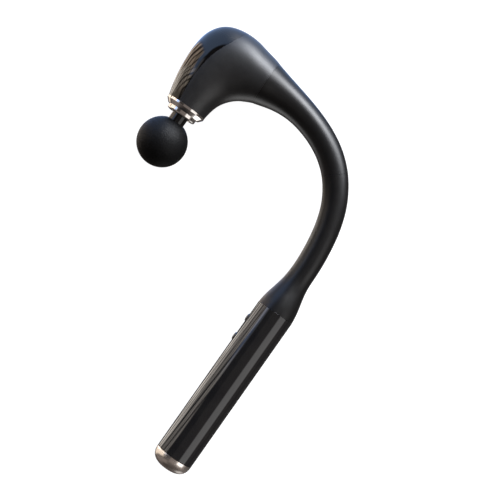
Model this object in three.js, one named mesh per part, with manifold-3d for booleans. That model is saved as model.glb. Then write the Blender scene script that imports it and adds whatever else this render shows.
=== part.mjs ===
// Hooked-arm percussion massager: a straight grip tube, a curved hollow arm and a domed motor head
// whose plunger drives a foam ball parallel to the grip.
//
// Millimetres. The massager lies on its side: the plane of the hook is parallel to XY, +Z is up,
// +Y runs along the grip from the end cap towards the arm and the head is on the -X side.
// Shapes are drawn about the grip axis (x = 0) with the end cap's face at y = 0 and the hook plane
// at z = 0. One group then moves everything so that the origin is the bottom centre of the box.

import * as THREE from 'three';
import { mergeVertices } from 'three/addons/utils/BufferGeometryUtils.js';
import Module from 'manifold-3d';

const wasm = await Module();
wasm.setup();

// ---------------------------------------------------------------- driving dimensions

const CLEARANCE = 0.3; // running and seam gap between neighbouring pieces

const GRIP_RADIUS = 19.5;
const GRIP_WALL = 1.8;
const GRIP_BOTTOM = 14.3; // where the end cap's collar meets the grip tube
const GRIP_TOP = 184.2; // where the arm starts
const CAP_SPIGOT_RADIUS = 17.4;
const BUTTON_HEIGHTS = { button_mode: 142.6, button_power: 164.4 };
const BUTTON_RADIUS = 4.25;

const CELL_RADIUS = 9.2;
const CELL_LENGTH = 65;
const CELL_OFFSET = 5.2; // the cells sit towards the back of the grip, behind the control board

const ARM_WALL = 2;
const HEAD_WALL = 2.2;
const HEAD_PIVOT = new THREE.Vector2(-135, 297.5); // the head's sections fan out from this corner
const HEAD_TILT = 90; // degrees turned between the arm's end and the nose

const NOSE_X = -185.2; // the nose and plunger axis, parallel to the grip
const CRANK_Y = 343; // height of the motor shaft
const CRANK_THROW = 4; // the plunger travels this far each way
const ROLLER_RADIUS = 3;
const MOTOR_RADIUS = 14.2;
const MOTOR_BOTTOM = -18;
const BELL_WALL = 1;
const LUG_RADIUS = 20.5; // circle of the motor frame's fixing screws
const LUG_ANGLES = [80, 25, -25];

const PLUNGER_RADIUS = 10;
const SOCKET_RADIUS = 5.8;
const NECK_RADIUS = 8.4;
const BALL_RADIUS = 25;
const BALL_Y = 256.2;

// Centre line and radius of the arm, from the grip's seam round to the head's seam: x, y, radius.
const ARM_STATIONS = [
  [0, 184.5, 19.4],
  [0, 190.5, 18.9],
  [0, 198.5, 17.3],
  [0, 206, 15.4],
  [0, 214, 13.6],
  [0, 222, 12.6],
  [0, 238, 12.4],
  [-2.2, 261, 12.4],
  [-6.5, 283, 12.5],
  [-14.5, 304.5, 12.6],
  [-29, 325.8, 12.9],
  [-46, 340.2, 13.2],
  [-66, 350.4, 13.5],
  [-88, 357, 14.3],
  [-104, 359.5, 15.9],
  [-119.5, 360.4, 18.8],
  [-134.6, 360.3, 22.9],
];
const ARM_JOIN = 10; // the station where the lower and the upper arm meet

// The head's sections: degrees from the arm's end, inner and outer reach from the pivot, half width.
const HEAD_STATIONS = [
  [0, 39.8, 85.8, 23],
  [10, 37.3, 90.6, 23.6],
  [20, 35.7, 97.9, 24.2],
  [30, 34.1, 104, 24.6],
  [37, 33.1, 106, 24.7],
  [45, 32.1, 103.7, 24.6],
  [55, 31, 95, 24.2],
  [65, 30, 85.8, 23.4],
  [75, 29.3, 78.4, 22.3],
  [83, 29.2, 74, 21.4],
  [90, 29.3, 70.9, 20.8],
];

// Side view of the edge between the gloss front cover and the satin shells, from the nose upwards.
const COVER_EDGE = [
  [-192.6, 285],
  [-193.2, 303],
  [-194.5, 318],
  [-193.6, 338],
  [-190.8, 353],
  [-183.9, 370],
  [-176.8, 388],
  [-171, 402],
];

// ---------------------------------------------------------------- finishes

const FINISHES = {
  softTouch: { color: 0x17181a, roughness: 0.5, metalness: 0 },
  satinShell: { color: 0x222326, roughness: 0.42, metalness: 0 },
  glossBlack: { color: 0x0b0b0d, roughness: 0.08, metalness: 0 },
  chrome: { color: 0xd9d6d2, roughness: 0.08, metalness: 1 },
  nickel: { color: 0xcfc6bb, roughness: 0.14, metalness: 1 },
  foam: { color: 0x1b1b1d, roughness: 0.85, metalness: 0 },
  rubber: { color: 0x141414, roughness: 0.8, metalness: 0 },
  steel: { color: 0xa9adb1, roughness: 0.3, metalness: 1 },
  aluminium: { color: 0xbfc3c7, roughness: 0.35, metalness: 1 },
  polymer: { color: 0xdcdad2, roughness: 0.5, metalness: 0 },
  copper: { color: 0xb5652f, roughness: 0.35, metalness: 1 },
  magnet: { color: 0x3c3e42, roughness: 0.4, metalness: 1 },
  circuit: { color: 0x0f5a37, roughness: 0.5, metalness: 0 },
  chip: { color: 0x19191b, roughness: 0.6, metalness: 0 },
  cellWrap: { color: 0x1d6f86, roughness: 0.35, metalness: 0 },
  wire: { color: 0x1a1a1a, roughness: 0.6, metalness: 0 },
};

// ---------------------------------------------------------------- geometry helpers

const radians = THREE.MathUtils.degToRad;

/** A piece turned about the local Y axis from [radius, height] points, outer side running upwards. */
function turned(profile, segments = 32) {
  const first = profile[0];
  const last = profile[profile.length - 1];
  const closes = first[0] === 0 && last[0] === 0;
  const points = (closes ? profile : [...profile, first]).map(([r, y]) => new THREE.Vector2(r, y));
  return new THREE.LatheGeometry(points, segments);
}

function turnedAtNose(profile, segments) {
  return turned(profile, segments).translate(NOSE_X, 0, 0);
}

/** A piece turned about the motor shaft, with its profile's heights measured along Z. */
function turnedAtShaft(profile, segments) {
  return turned(profile, segments)
    .rotateX(Math.PI / 2)
    .translate(NOSE_X, CRANK_Y, 0);
}

function ringProfile(inner, outer, bottom, top) {
  return [
    [inner, bottom],
    [outer, bottom],
    [outer, top],
    [inner, top],
  ];
}

function box(x0, x1, y0, y1, z0, z1) {
  return new THREE.BoxGeometry(x1 - x0, y1 - y0, z1 - z0).translate(
    (x0 + x1) / 2,
    (y0 + y1) / 2,
    (z0 + z1) / 2,
  );
}

function rodAlongZ(x, y, radius, z0, z1, segments = 16) {
  return new THREE.CylinderGeometry(radius, radius, z1 - z0, segments)
    .rotateX(Math.PI / 2)
    .translate(x, y, (z0 + z1) / 2);
}

function signedVolume(positions, triangles) {
  const corners = [0, 1, 2].map(() => new THREE.Vector3());
  let volume = 0;
  for (let i = 0; i < triangles.length; i += 3) {
    corners.forEach((corner, j) => corner.fromArray(positions, 3 * triangles[i + j]));
    volume += corners[0].dot(corners[1].cross(corners[2])) / 6;
  }
  return volume;
}

/** A closed skin through equal rings of points; it closes on its first ring, or is capped flat. */
function skin(rings, capped) {
  const count = rings[0].length;
  const positions = rings.flat().flatMap((point) => point.toArray());
  const triangles = [];
  const spans = capped ? rings.length - 1 : rings.length;
  for (let i = 0; i < spans; i += 1) {
    const here = i * count;
    const there = ((i + 1) % rings.length) * count;
    for (let j = 0; j < count; j += 1) {
      const k = (j + 1) % count;
      triangles.push(here + j, there + j, there + k, here + j, there + k, here + k);
    }
  }
  if (capped) {
    const lastRing = (rings.length - 1) * count;
    for (let j = 1; j < count - 1; j += 1) {
      triangles.push(0, j, j + 1);
      triangles.push(lastRing, lastRing + j + 1, lastRing + j);
    }
  }
  if (signedVolume(positions, triangles) < 0) {
    triangles.reverse();
  }
  const geometry = new THREE.BufferGeometry();
  geometry.setAttribute('position', new THREE.Float32BufferAttribute(positions, 3));
  geometry.setIndex(triangles);
  return geometry;
}

/** Geometry to manifold solid, dropping the slivers that a turned profile leaves on its axis. */
function toSolid(geometry) {
  const bare = geometry.clone();
  bare.deleteAttribute('normal');
  bare.deleteAttribute('uv');
  const merged = mergeVertices(bare, 1e-4);
  const index = merged.index.array;
  const triangles = [];
  for (let i = 0; i < index.length; i += 3) {
    const [a, b, c] = [index[i], index[i + 1], index[i + 2]];
    if (a !== b && b !== c && c !== a) {
      triangles.push(a, b, c);
    }
  }
  const mesh = new wasm.Mesh({
    numProp: 3,
    vertProperties: new Float32Array(merged.attributes.position.array),
    triVerts: new Uint32Array(triangles),
  });
  return new wasm.Manifold(mesh);
}

function toGeometry(solid) {
  const mesh = solid.getMesh();
  const geometry = new THREE.BufferGeometry();
  const positions = new THREE.BufferAttribute(new Float32Array(mesh.vertProperties), 3);
  geometry.setAttribute('position', positions);
  geometry.setIndex(new THREE.BufferAttribute(new Uint32Array(mesh.triVerts), 1));
  return geometry;
}

function join(...geometries) {
  return toGeometry(geometries.map(toSolid).reduce((whole, piece) => whole.add(piece)));
}

function cut(geometry, ...cutters) {
  return toGeometry(
    cutters.map(toSolid).reduce((rest, cutter) => rest.subtract(cutter), toSolid(geometry)),
  );
}

function common(geometry, other) {
  return toGeometry(toSolid(geometry).intersect(toSolid(other)));
}

// ---------------------------------------------------------------- assembly

const massager = new THREE.Group();

function addPiece(name, geometry, finish) {
  const mesh = new THREE.Mesh(geometry, new THREE.MeshStandardMaterial(FINISHES[finish]));
  mesh.name = name;
  massager.add(mesh);
  return mesh;
}

// ---------------------------------------------------------------- grip

const gripBore = GRIP_RADIUS - GRIP_WALL;
const buttonHoles = Object.values(BUTTON_HEIGHTS).map((y) =>
  new THREE.CylinderGeometry(BUTTON_RADIUS + CLEARANCE, BUTTON_RADIUS + CLEARANCE, 8, 20)
    .rotateZ(Math.PI / 2)
    .translate(-GRIP_RADIUS, y, 0),
);
const gripTube = turned(ringProfile(gripBore, GRIP_RADIUS, GRIP_BOTTOM, GRIP_TOP), 36);
addPiece('grip_tube', cut(gripTube, ...buttonHoles), 'glossBlack');

// The end cap: a shallow dome with a flat centre, a spigot with a seal groove and a charging slot.
const endCap = turned(
  [
    [0, 0],
    [8, 0],
    [10.5, 0.6],
    [13.5, 1.8],
    [16, 3.6],
    [18, 6.2],
    [19.1, 9.2],
    [GRIP_RADIUS, 12],
    [GRIP_RADIUS, GRIP_BOTTOM - CLEARANCE],
    [CAP_SPIGOT_RADIUS, GRIP_BOTTOM - CLEARANCE],
    [CAP_SPIGOT_RADIUS, 18],
    [16.1, 18],
    [16.1, 20],
    [CAP_SPIGOT_RADIUS, 20],
    [CAP_SPIGOT_RADIUS, 24],
    [15, 24],
    [15, 3.2],
    [0, 3.2],
  ],
  36,
);
addPiece('end_cap', cut(endCap, box(-4.9, 4.9, -1, 5, -2, 2)), 'nickel');
addPiece('cap_seal', turned(ringProfile(16.4, 17.5, 18.3, 19.7), 24), 'rubber');

const socketShell = cut(box(-4.5, 4.5, 0.5, 8, -1.6, 1.6), box(-4.2, 4.2, 0, 7.4, -1.3, 1.3));
addPiece('usb_socket', join(socketShell, box(-3.4, 3.4, 1.2, 7.7, -0.35, 0.35)), 'steel');
addPiece('charge_board', box(-8, 8, 3.6, 21, -3.5, -1.9), 'circuit');

// Two cells in line in a trough with end walls.
function cellEnd(y0, y1) {
  return turned([[0, y0], [11, y0], [11, y1], [0, y1]], 16).translate(CELL_OFFSET, 0, 0);
}
const troughSection = new THREE.Shape();
troughSection.absarc(0, 0, 11, radians(-95), radians(95), false);
troughSection.absarc(0, 0, 9.6, radians(95), radians(-95), true);
const trough = new THREE.ExtrudeGeometry(troughSection, {
  depth: 138.5,
  bevelEnabled: false,
  curveSegments: 8,
})
  .rotateX(-Math.PI / 2)
  .translate(CELL_OFFSET, 24.7, 0);
addPiece('battery_carrier', join(trough, cellEnd(24.3, 25.8), cellEnd(162, 163.5)), 'chip');

[28, 95].forEach((y, i) => {
  const cell = turned(
    [
      [0, y],
      [CELL_RADIUS - 0.6, y],
      [CELL_RADIUS, y + 0.6],
      [CELL_RADIUS, y + CELL_LENGTH - 1.6],
      [CELL_RADIUS - 0.8, y + CELL_LENGTH - 0.8],
      [2.8, y + CELL_LENGTH - 0.8],
      [2.8, y + CELL_LENGTH],
      [0, y + CELL_LENGTH],
    ],
    16,
  );
  addPiece(`cell_${i + 1}`, cell.translate(CELL_OFFSET, 0, 0), 'cellWrap');
});
Object.entries({
  contact_negative: [26.1, 27.7],
  contact_link: [93.3, 94.7],
  contact_positive: [160.3, 161.7],
}).forEach(([name, [y0, y1]]) => {
  addPiece(name, box(CELL_OFFSET - 5, CELL_OFFSET + 5, y0, y1, -5, 5), 'steel');
});

// Control board behind the buttons, with its parts on both faces.
addPiece('control_board', box(-9.4, -7.8, 62, 169, -11, 11), 'circuit');
addPiece('controller_chip', box(-7.5, -6, 118, 128, -5, 5), 'chip');
addPiece('driver_chip', box(-7.5, -6, 98, 106, -4, 4), 'chip');
addPiece('board_connector', box(-7.5, -3, 163.8, 168.8, -5, 5), 'polymer');

Object.entries(BUTTON_HEIGHTS).forEach(([name, y]) => {
  // Domed cap, retaining flange and stem, turned about the X axis.
  const button = turned(
    [
      [0, -20.9],
      [2.3, -20.75],
      [3.7, -20.4],
      [BUTTON_RADIUS, -19.7],
      [BUTTON_RADIUS, -16.4],
      [5.4, -16.4],
      [5.4, -15.5],
      [1.6, -15.5],
      [1.6, -12.8],
      [0, -12.8],
    ],
    16,
  );
  addPiece(name, button.rotateZ(-Math.PI / 2).translate(0, y, 0), 'glossBlack');
  const plunger = new THREE.CylinderGeometry(1.7, 1.7, 1, 12)
    .rotateZ(Math.PI / 2)
    .translate(-11.6, y, 0);
  const switchBody = box(-11.7, -9.7, y - 3, y + 3, -3, 3);
  addPiece(name.replace('button', 'switch'), join(switchBody, plunger), 'steel');
});

// ---------------------------------------------------------------- arm

// x and y of the spline are the centre line, z is the radius.
const armLine = new THREE.CatmullRomCurve3(
  ARM_STATIONS.map(([x, y, radius]) => new THREE.Vector3(x, y, radius)),
  false,
  'centripetal',
);

function circleAcross(x, y, direction, radius, segments) {
  const side = new THREE.Vector3(-direction.y, direction.x, 0);
  return Array.from({ length: segments }, (_, i) => {
    const angle = (2 * Math.PI * i) / segments;
    return new THREE.Vector3(x, y, radius * Math.sin(angle)).addScaledVector(
      side,
      radius * Math.cos(angle),
    );
  });
}

function armRing(station, inset, segments) {
  const t = station / (ARM_STATIONS.length - 1);
  const point = armLine.getPoint(t);
  const slope = armLine.getTangent(t);
  const direction = new THREE.Vector2(slope.x, slope.y).normalize();
  return circleAcross(point.x, point.y, direction, point.z - inset, segments);
}

function armRings(first, last, steps, inset, segments) {
  return Array.from({ length: steps + 1 }, (_, i) =>
    armRing(first + ((last - first) * i) / steps, inset, segments),
  );
}

const ARM_SEGMENTS = 24;
const UP = new THREE.Vector2(0, 1);
const JOIN_GAP = 0.006; // half of the seam between the arms, in stations

const spigot = [
  [172, CAP_SPIGOT_RADIUS - 2.4],
  [172, CAP_SPIGOT_RADIUS],
  [GRIP_TOP, CAP_SPIGOT_RADIUS],
].map(([y, radius]) => circleAcross(0, y, UP, radius, ARM_SEGMENTS));
const armLower = skin([
  ...spigot,
  ...armRings(0, ARM_JOIN - JOIN_GAP, 13, 0, ARM_SEGMENTS),
  ...armRings(ARM_JOIN - JOIN_GAP, 1.5, 7, ARM_WALL, ARM_SEGMENTS),
]);
addPiece('arm_lower', armLower, 'softTouch');

const armEnd = ARM_STATIONS.length - 1;
const armUpper = skin([
  ...armRings(ARM_JOIN + JOIN_GAP, armEnd, 9, 0, ARM_SEGMENTS),
  ...armRings(armEnd, ARM_JOIN + JOIN_GAP, 7, ARM_WALL, ARM_SEGMENTS),
]);
addPiece('arm_upper', armUpper, 'softTouch');

const armCoupler = skin([
  ...armRings(ARM_JOIN - 0.3, ARM_JOIN + 0.4, 3, ARM_WALL + 0.9, 14),
  ...armRings(ARM_JOIN + 0.4, ARM_JOIN - 0.3, 3, ARM_WALL + 2.1, 14),
]);
addPiece('arm_coupler', armCoupler, 'aluminium');

const headCoupler = turned(ringProfile(17.4, 19.2, 131, 140), 22)
  .rotateZ(Math.PI / 2)
  .translate(0, 360.3, 0);
addPiece('head_coupler', headCoupler, 'aluminium');

// The motor's wires, bundled in one sleeve from the control board to the motor.
const loomPath = new THREE.CatmullRomCurve3(
  [
    [-0.6, 166.2, 0],
    [0, 180, 0],
    [0, 222, 0],
    ...ARM_STATIONS.slice(6, -1).map(([x, y]) => [x, y, 0]),
    [-138, 360, -1],
    [-149, 357.5, -7],
    [-157, 353.5, -12],
  ].map((point) => new THREE.Vector3(...point)),
);
const loomSection = new THREE.Shape().absarc(0, 0, 1.9, 0, 2 * Math.PI, false);
const loom = new THREE.ExtrudeGeometry(loomSection, {
  steps: 30,
  curveSegments: 3,
  extrudePath: loomPath,
});
addPiece('wiring_loom', loom, 'wire');

// ---------------------------------------------------------------- head shells and front cover

const headLine = (column) =>
  new THREE.CatmullRomCurve3(
    HEAD_STATIONS.map((row) => new THREE.Vector3(row[0], row[column], 0)),
    false,
    'centripetal',
  );
const headLines = { inner: headLine(1), outer: headLine(2), half: headLine(3) };

/** The elliptic section of the head at one step of its sweep, pulled in by the wall thickness. */
function headRing(t, inset, segments) {
  const inner = headLines.inner.getPoint(t).y + inset;
  const outer = headLines.outer.getPoint(t).y - inset;
  const half = headLines.half.getPoint(t).y - inset;
  const turn = radians(HEAD_TILT + headLines.inner.getPoint(t).x);
  return Array.from({ length: segments }, (_, i) => {
    const angle = (2 * Math.PI * i) / segments;
    const reach = (inner + outer) / 2 + ((outer - inner) / 2) * Math.cos(angle);
    return new THREE.Vector3(
      HEAD_PIVOT.x + reach * Math.cos(turn),
      HEAD_PIVOT.y + reach * Math.sin(turn),
      half * Math.sin(angle),
    );
  });
}

function headRings(first, last, steps, inset, segments) {
  return Array.from({ length: steps + 1 }, (_, i) =>
    headRing(first + ((last - first) * i) / steps, inset, segments),
  );
}

const HEAD_SEGMENTS = 28;
const HEAD_START = 0.004; // the seam between the arm and the head
const headWall = skin([
  ...headRings(HEAD_START, 1, 12, 0, HEAD_SEGMENTS),
  ...headRings(1, HEAD_START, 8, HEAD_WALL, HEAD_SEGMENTS),
]);
const headBlock = skin(headRings(HEAD_START, 1, 12, 0.4, HEAD_SEGMENTS), true);

/** Everything on the cover's side of the cover edge, with the edge moved across by shift. */
function coverSide(shift) {
  const edge = new THREE.SplineCurve(COVER_EDGE.map(([x, y]) => new THREE.Vector2(x + shift, y)));
  const points = [...edge.getPoints(14), new THREE.Vector2(-230, 402), new THREE.Vector2(-230, 285)];
  const slab = new THREE.ExtrudeGeometry(new THREE.Shape(points), { depth: 80, bevelEnabled: false });
  return slab.translate(0, 0, -40);
}

const rearWall = cut(headWall, coverSide(CLEARANCE / 2));
addPiece('front_cover', common(headWall, coverSide(-CLEARANCE / 2)), 'glossBlack');

const lugs = LUG_ANGLES.map((degrees) => [
  NOSE_X + LUG_RADIUS * Math.cos(radians(degrees)),
  CRANK_Y + LUG_RADIUS * Math.sin(radians(degrees)),
]);
const bosses = lugs.map(([x, y]) => common(rodAlongZ(x, y, 2.8, -30, -9.1), headBlock));
const bossHoles = lugs.map(([x, y]) => rodAlongZ(x, y, 1.4, -15, -8, 12));
const farHalf = box(-240, -100, 280, 410, -40, -CLEARANCE / 2);
const nearHalf = box(-240, -100, 280, 410, CLEARANCE / 2, 40);
const farShell = join(common(rearWall, farHalf), ...bosses);
addPiece('head_shell_near', common(rearWall, nearHalf), 'satinShell');
addPiece('head_shell_far', cut(farShell, ...bossHoles), 'satinShell');

// ---------------------------------------------------------------- nose

const bezel = [
  [16.1, 291.4],
  [17.7, 291.4],
  [20.9, 294.4],
  [20.9, 297.2],
  [18.2, 297.2],
  [18.2, 304],
  [16.9, 304],
  [16.9, 298],
  [16.1, 297.2],
];
addPiece('nose_bezel', turnedAtNose(bezel, 30), 'chrome');

const collar = [
  [10.8, 286.9],
  [13.9, 286.9],
  [14.9, 287.3],
  [15.4, 288.4],
  [15.4, 300],
  [13.9, 300],
  [13.9, 289.2],
  [10.8, 289.2],
];
addPiece('collar_ring', turnedAtNose(collar, 30), 'chrome');

const wiper = [
  [8.75, 287.5],
  [10.5, 287.5],
  [10.5, 289.5],
  [13.6, 289.5],
  [13.6, 292.6],
  [8.75, 292.6],
];
addPiece('wiper_seal', turnedAtNose(wiper, 24), 'rubber');

const bush = ringProfile(PLUNGER_RADIUS + CLEARANCE, 13.6, 300.3, 322);
addPiece('guide_bush', turnedAtNose(bush, 24), 'polymer');
addPiece('isolation_ring', turnedAtNose(ringProfile(16.9, 18.3, 306, 311), 24), 'rubber');

// ---------------------------------------------------------------- motor frame and motor

const frameBarrel = turnedAtNose(ringProfile(13.9, 16.6, 300.5, 326.5), 24);
const framePlate = rodAlongZ(NOSE_X, CRANK_Y, 18.5, -8.8, -6.4, 28);
const frameLegs = box(NOSE_X - 14.4, NOSE_X + 14.4, 322, CRANK_Y, -8.8, -6.4);
const frameWindow = box(NOSE_X - 10.7, NOSE_X + 10.7, 315, 332.8, -9.5, -5.5);
const frameHub = turnedAtShaft(ringProfile(4.3, 5.5, -16.6, -7), 18);
const frameLugs = lugs.map(([x, y]) => rodAlongZ(x, y, 3.8, -8.8, -6.4));
const lugHoles = lugs.map(([x, y]) => rodAlongZ(x, y, 1.4, -10, -5, 12));
const shaftHole = rodAlongZ(NOSE_X, CRANK_Y, 4.3, -20, 0, 18);
const flatFrame = cut(join(framePlate, frameLegs, ...frameLugs), frameWindow, ...lugHoles);
const barrelBore = turnedAtNose([[0, 300], [13.9, 300], [13.9, 332.8], [0, 332.8]], 24);
addPiece(
  'motor_frame',
  cut(join(cut(flatFrame, barrelBore), frameBarrel, frameHub), shaftHole),
  'aluminium',
);

lugs.forEach(([x, y], i) => {
  const screw = join(rodAlongZ(x, y, 1.1, -14, -5.5, 12), rodAlongZ(x, y, 2.3, -6.1, -4.5, 12));
  addPiece(`frame_screw_${i + 1}`, screw, 'steel');
});
addPiece('damper_pad', box(-207.2, -204.1, 337, 349, -9.4, -5.6), 'rubber');

addPiece('bearing_front', turnedAtShaft(ringProfile(2.3, 4, -8.6, -6.6), 16), 'steel');
addPiece('bearing_rear', turnedAtShaft(ringProfile(2.3, 4, -16.5, -14.5), 16), 'steel');

// Stator core with six teeth, each carrying one coil.
const TEETH = 6;
const STATOR_BOTTOM = -15.4;
const STATOR_TOP = -11.4;
const statorYoke = turnedAtShaft(ringProfile(5.8, 8, STATOR_BOTTOM, STATOR_TOP), 18);
const teeth = Array.from({ length: TEETH }, (_, i) =>
  new THREE.BoxGeometry(4.4, 3.4, STATOR_TOP - STATOR_BOTTOM)
    .translate(9.6, 0, (STATOR_BOTTOM + STATOR_TOP) / 2)
    .rotateZ((2 * Math.PI * i) / TEETH)
    .translate(NOSE_X, CRANK_Y, 0),
);
addPiece('motor_stator', join(statorYoke, ...teeth), 'magnet');

function rectangle(Outline, width, height) {
  return new Outline([
    new THREE.Vector2(-width / 2, -height / 2),
    new THREE.Vector2(width / 2, -height / 2),
    new THREE.Vector2(width / 2, height / 2),
    new THREE.Vector2(-width / 2, height / 2),
  ]);
}
for (let i = 0; i < TEETH; i += 1) {
  const section = rectangle(THREE.Shape, 6.4, 6.6);
  section.holes.push(rectangle(THREE.Path, 4, 4.6));
  const coil = new THREE.ExtrudeGeometry(section, { depth: 2.9, bevelEnabled: false })
    .rotateY(Math.PI / 2)
    .rotateX(Math.PI / 2)
    .translate(8.4, 0, (STATOR_BOTTOM + STATOR_TOP) / 2)
    .rotateZ((2 * Math.PI * i) / TEETH)
    .translate(NOSE_X, CRANK_Y, 0);
  addPiece(`coil_${i + 1}`, coil, 'copper');
}

// Rotor: bell, magnet ring, shaft, crank disc and the roller on the crank pin.
const bell = [
  [2.3, MOTOR_BOTTOM],
  [MOTOR_RADIUS, MOTOR_BOTTOM],
  [MOTOR_RADIUS, -9.3],
  [MOTOR_RADIUS - BELL_WALL, -9.3],
  [MOTOR_RADIUS - BELL_WALL, MOTOR_BOTTOM + BELL_WALL],
  [2.3, MOTOR_BOTTOM + BELL_WALL],
];
addPiece('rotor_bell', turnedAtShaft(bell, 26), 'steel');
addPiece('magnet_ring', turnedAtShaft(ringProfile(12.2, 12.9, -16.6, -10), 24), 'magnet');
addPiece('motor_shaft', rodAlongZ(NOSE_X, CRANK_Y, 2, MOTOR_BOTTOM + 0.2, -3.4), 'steel');

const crankDisc = turnedAtShaft(ringProfile(2.3, 9.5, -6.1, -3.2), 24);
const crankPin = rodAlongZ(NOSE_X + CRANK_THROW, CRANK_Y, 1.5, -3.3, 2.9);
const lightening = rodAlongZ(NOSE_X + 6.2, CRANK_Y + 5.2, 1.4, -7, -2, 12);
const lighteningPair = rodAlongZ(NOSE_X + 6.2, CRANK_Y - 5.2, 1.4, -7, -2, 12);
addPiece('crank_disc', join(cut(crankDisc, lightening, lighteningPair), crankPin), 'steel');
const roller = turned(ringProfile(1.8, ROLLER_RADIUS, -2.6, 2.6), 14)
  .rotateX(Math.PI / 2)
  .translate(NOSE_X + CRANK_THROW, CRANK_Y, 0);
addPiece('crank_roller', roller, 'steel');

// ---------------------------------------------------------------- plunger

const rod = [
  [0, 316],
  [SOCKET_RADIUS, 316],
  [SOCKET_RADIUS, 297],
  [9.4, 297],
  [PLUNGER_RADIUS, 297.6],
  [PLUNGER_RADIUS, 324.3],
  [0, 324.3],
];
const blade = box(NOSE_X - 8, NOSE_X + 8, 324, 336, -2.7, 2.7);
const yoke = box(NOSE_X - 11.5, NOSE_X + 11.5, 334.8, 351.2, -2.7, 2.7);
const slot = box(NOSE_X - 7.6, NOSE_X + 7.6, CRANK_Y - 4.2, CRANK_Y + 4.2, -4, 4);
addPiece('plunger', cut(join(turnedAtNose(rod, 24), blade, yoke), slot), 'aluminium');

// ---------------------------------------------------------------- ball attachment

const neck = [
  [0, 243],
  [6, 243],
  [6, 278],
  [NECK_RADIUS, 278],
  [NECK_RADIUS, 296],
  [7.7, 296.7],
  [5.2, 296.7],
  [5.2, 301.3],
  [3.7, 301.3],
  [3.7, 303.3],
  [5.2, 303.3],
  [5.2, 312],
  [4.2, 313],
  [0, 313],
];
addPiece('ball_neck', turnedAtNose(neck, 24), 'glossBlack');

const oRing = new THREE.TorusGeometry(4.75, 0.7, 6, 18)
  .rotateX(Math.PI / 2)
  .translate(NOSE_X, 302.3, 0);
addPiece('neck_o_ring', oRing, 'rubber');

const boreRadius = NECK_RADIUS + CLEARANCE;
const mouth = Math.asin(boreRadius / BALL_RADIUS);
function ballArc(from, to, steps) {
  return Array.from({ length: steps }, (_, i) => {
    const angle = from + ((i + 1) / steps) * (to - from);
    return [BALL_RADIUS * Math.sin(angle), BALL_Y + BALL_RADIUS * Math.cos(angle)];
  });
}
const ball = [
  [0, BALL_Y - BALL_RADIUS],
  ...ballArc(Math.PI, Math.PI / 2, 7),
  ...ballArc(Math.PI / 2, mouth, 6),
  [boreRadius, 277.7],
  [6.3, 277.7],
  [6.3, 242.7],
  [0, 242.7],
];
addPiece('massage_ball', turnedAtNose(ball, 28), 'foam');

// ---------------------------------------------------------------- origin at the bottom centre

const bounds = new THREE.Box3().setFromObject(massager, true);
const centre = bounds.getCenter(new THREE.Vector3());
massager.position.set(-centre.x, -centre.y, -bounds.min.z);
massager.updateMatrixWorld(true);

export default massager;
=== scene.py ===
"""Hooked-arm percussion massager: the detailed visual model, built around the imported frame.

Shapes are written in millimetres about the grip's axis, with the end cap's face at y = 0 and the
plane of the hook at z = 0. point() places them in the frame, in metres.
"""

import math

import bmesh
import bpy
import numpy as np
from mathutils import Matrix, Vector


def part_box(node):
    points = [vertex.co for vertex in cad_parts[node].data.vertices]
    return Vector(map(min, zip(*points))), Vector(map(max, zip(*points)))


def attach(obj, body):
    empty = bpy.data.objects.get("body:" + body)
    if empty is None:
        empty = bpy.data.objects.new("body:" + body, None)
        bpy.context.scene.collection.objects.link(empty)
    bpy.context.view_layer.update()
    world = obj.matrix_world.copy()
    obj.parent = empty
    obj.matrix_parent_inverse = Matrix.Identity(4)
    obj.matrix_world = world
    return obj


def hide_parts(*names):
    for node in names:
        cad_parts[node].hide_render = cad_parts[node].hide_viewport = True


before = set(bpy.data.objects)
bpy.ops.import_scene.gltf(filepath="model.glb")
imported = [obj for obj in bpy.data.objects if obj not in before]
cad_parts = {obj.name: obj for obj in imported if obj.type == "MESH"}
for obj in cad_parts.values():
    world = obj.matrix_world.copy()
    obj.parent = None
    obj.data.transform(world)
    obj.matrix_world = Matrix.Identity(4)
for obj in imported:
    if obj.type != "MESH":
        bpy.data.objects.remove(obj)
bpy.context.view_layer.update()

MM = 0.001
grip_low, grip_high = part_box("grip_tube")
cap_low, cap_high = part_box("end_cap")
ORIGIN = Vector(((grip_low.x + grip_high.x) / 2, cap_low.y, (grip_low.z + grip_high.z) / 2))


def point(x, y, z=0.0):
    """A point in millimetres about the grip's axis, in the frame, in metres."""
    return ORIGIN + Vector((x, y, z)) * MM


# ------------------------------------------------------------------ dimensions

GRIP_RADIUS = (grip_high.x - grip_low.x) / 2 / MM
GRIP_BOTTOM = (grip_low.y - cap_low.y) / MM
GRIP_TOP = (grip_high.y - cap_low.y) / MM
GRIP_WALL = 1.8
NOSE_X = -185.2
BALL_RADIUS = 25.0
BALL_Y = 256.2
NECK_RADIUS = 8.4
BUTTON_RADIUS = 4.25
BUTTON_Y = {"button_mode": 142.6, "button_power": 164.4}
ARM_WALL = 2.0
HEAD_WALL = 2.2
HEAD_PIVOT = (-135.0, 297.5)
SEAM = 0.3
# Rims: how far the arm's are eased, the gap between its two pieces, its overlap with the head.
RIM_EASE = 0.06
JOIN_GAP = 0.1
HEAD_LAP = 0.38
# The spigot of the lower arm inside the grip, and where the arm's own bore starts.
SPIGOT_BOTTOM = 172
SPIGOT_RADIUS = 17.4
SPIGOT_CHAMFER = 0.3
SPIGOT_BORE = 15.0
ARM_BORE_START = 194
# Half the gap between the head's two shells, outside and at the inside of the wall, and the rough
# half width of the head that turns these into angles.
HALF_GAP = 0.08
HALF_GAP_INSIDE = 0.01
HEAD_HALF_WIDTH = 24
# Half the angle, in radians, that the front cover still spans at its tip on the dome.
COVER_TIP_ANGLE = 0.004
# Heights along the grip's axis between which the cover turns from gloss to satin.
SATIN_FADE = (361, 380)

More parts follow.
